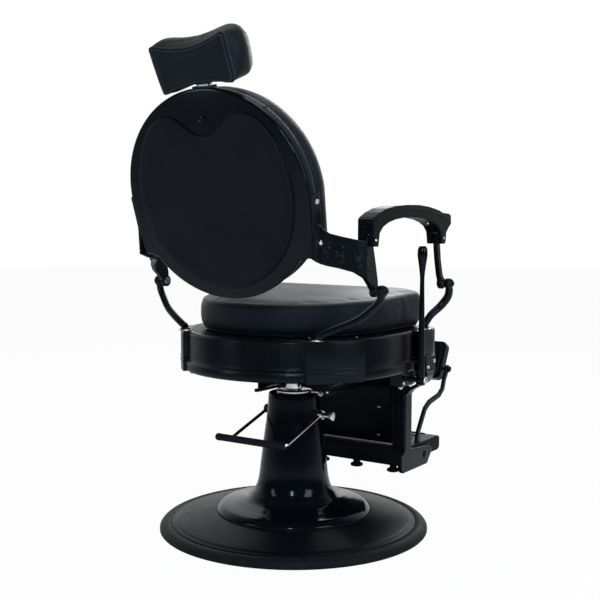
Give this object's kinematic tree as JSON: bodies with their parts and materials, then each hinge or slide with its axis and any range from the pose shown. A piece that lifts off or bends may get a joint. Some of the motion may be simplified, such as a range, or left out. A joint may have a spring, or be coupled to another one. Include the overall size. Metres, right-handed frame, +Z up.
{
  "type": "hydraulic barber chair",
  "caption": "Barber chair with a round base, pump column, swivelling seat, reclining round back, adjustable headrest, armrests and a footrest.",
  "frame": {"origin": "on the floor under the column's centre line", "axes": "+Z up along the column, -Y the way the chair faces, +X the sitter's left"},
  "size_m": [0.6844, 0.9716, 1.2027],
  "materials": {
    "cast_gloss": "gloss black enamel on cast aluminium",
    "cast_satin": "satin black enamel on cast aluminium",
    "chrome": "polished chrome plate",
    "gloss_black": "gloss black enamel",
    "leather": "satin black upholstery leather",
    "rubber": "matt black rubber",
    "satin_black": "satin black powder coat",
    "shell_gloss": "gloss black moulded shell",
    "steel": "machined steel",
    "plywood": "plywood painted satin black"
  },
  "bodies": {
    "chair_base": {"base_plate": "satin_black", "base_rim": "rubber", "column": "gloss_black", "hydraulic_cylinder": "steel", "gland_ring": "chrome", "pump_barrel": "steel"},
    "pump_pedal": {"pump_shaft": "chrome", "pedal_rod": "chrome", "pedal_grip": "rubber"},
    "pump_piston": {"pump_plunger": "chrome"},
    "lift_ram": {"ram": "chrome"},
    "swivel_lock": {"swivel_lock_lever": "gloss_black"},
    "recline_handle": {"recline_lever": "cast_gloss"},
    "back": {"back_shell": "shell_gloss", "back_frame": "leather", "back_cushion": "leather", "back_panel": "leather", "headrest_socket": "chrome", "back_bracket_left": "cast_gloss", "back_bracket_right": "cast_gloss", "bracket_bolt_lower_left": "chrome", "bracket_bolt_lower_right": "chrome", "bracket_bolt_upper_left": "chrome", "bracket_bolt_upper_right": "chrome"},
    "headrest_slider": {"headrest_stem": "chrome"},
    "headrest": {"headrest_hinge": "steel", "headrest_pillow": "leather"},
    "armrest_left": {"armrest_left": "cast_satin"},
    "armrest_right": {"armrest_right": "cast_satin"},
    "front_post_left": {"front_post_left": "cast_gloss"},
    "front_post_right": {"front_post_right": "cast_gloss"},
    "footplate_flap": {"upper_footplate": "cast_gloss"},
    "seat": {"bumper_inner_left": "rubber", "bumper_inner_right": "rubber", "bumper_outer_left": "rubber", "bumper_outer_right": "rubber", "footplate_arm_left": "cast_gloss", "footplate_arm_right": "cast_gloss", "footrest_side_left": "cast_gloss", "footrest_side_right": "cast_gloss", "leg_front_left": "cast_gloss", "leg_front_right": "cast_gloss", "leg_rear_left": "cast_gloss", "leg_rear_right": "cast_gloss", "lower_footplate": "cast_gloss", "pivot_pin_front_left": "steel", "pivot_pin_front_right": "steel", "pivot_pin_rear_left": "steel", "pivot_pin_rear_right": "steel", "recline_housing": "cast_satin", "seat_cushion": "leather", "seat_frame": "satin_black", "seat_pan": "plywood", "seat_rail_left": "satin_black", "seat_rail_right": "satin_black", "seat_ring": "cast_gloss", "shin_panel": "satin_black", "swivel_hub": "gloss_black"}
  },
  "joints": [
    {"name": "pedal_pump", "type": "hinge", "parent": "chair_base", "child": "pump_pedal", "pos_m": [0, 0, 0.294], "axis": [-1, 0, 0], "range_deg": [0, 25], "stiffness_Nm_per_rad": 3, "springref_deg": -20.05},
    {"name": "plunger_stroke", "type": "slide", "parent": "chair_base", "child": "pump_piston", "axis": [0, 0, -1], "range_m": [0, 0.019]},
    {"name": "seat_lift", "type": "slide", "parent": "chair_base", "child": "lift_ram", "axis": [0, 0, 1], "range_m": [0, 0.15]},
    {"name": "seat_swivel", "type": "hinge", "parent": "lift_ram", "child": "seat", "pos_m": [0, 0, 0.3755], "axis": [0, 0, 1], "continuous": true},
    {"name": "swivel_lock_turn", "type": "hinge", "parent": "seat", "child": "swivel_lock", "pos_m": [0, 0.052, 0.3755], "axis": [0, 0, 1], "range_deg": [-18, 18]},
    {"name": "back_recline", "type": "hinge", "parent": "seat", "child": "back", "pos_m": [0, 0.136, 0.623], "axis": [-1, 0, 0], "range_deg": [0, 20]},
    {"name": "headrest_height", "type": "slide", "parent": "back", "child": "headrest_slider", "axis": [0, 0.2419, 0.9703], "range_m": [0, 0.08]},
    {"name": "headrest_tilt", "type": "hinge", "parent": "headrest_slider", "child": "headrest", "pos_m": [0, 0.35759, 1.08208], "axis": [-1, 0, 0], "range_deg": [-10, 12]},
    {"name": "front_post_turn_left", "type": "hinge", "parent": "seat", "child": "front_post_left", "pos_m": [0.308, -0.204, 0.623], "axis": [-1, 0, 0], "range_deg": [-1, 21]},
    {"name": "armrest_turn_left", "type": "hinge", "parent": "back", "child": "armrest_left", "pos_m": [0.308, 0.166, 0.737], "axis": [-1, 0, 0], "range_deg": [-21, 1]},
    {"name": "front_post_turn_right", "type": "hinge", "parent": "seat", "child": "front_post_right", "pos_m": [-0.308, -0.204, 0.623], "axis": [-1, 0, 0], "range_deg": [-1, 21]},
    {"name": "armrest_turn_right", "type": "hinge", "parent": "back", "child": "armrest_right", "pos_m": [-0.308, 0.166, 0.737], "axis": [-1, 0, 0], "range_deg": [-21, 1]},
    {"name": "recline_lever_pull", "type": "hinge", "parent": "seat", "child": "recline_handle", "pos_m": [-0.3015, -0.112, 0.388], "axis": [-1, 0, 0], "range_deg": [0, 14]},
    {"name": "footplate_flap_turn", "type": "hinge", "parent": "seat", "child": "footplate_flap", "pos_m": [0, -0.516, 0.356], "axis": [1, 0, 0], "range_deg": [-20, 50]}
  ],
  "couplings": [
    {"joint": "plunger_stroke", "follows": "pedal_pump", "m_per_rad": 0.0435},
    {"joint": "front_post_turn_left", "follows": "back_recline", "ratio": 1},
    {"joint": "armrest_turn_left", "follows": "back_recline", "ratio": -1},
    {"joint": "front_post_turn_right", "follows": "back_recline", "ratio": 1},
    {"joint": "armrest_turn_right", "follows": "back_recline", "ratio": -1}
  ]
}
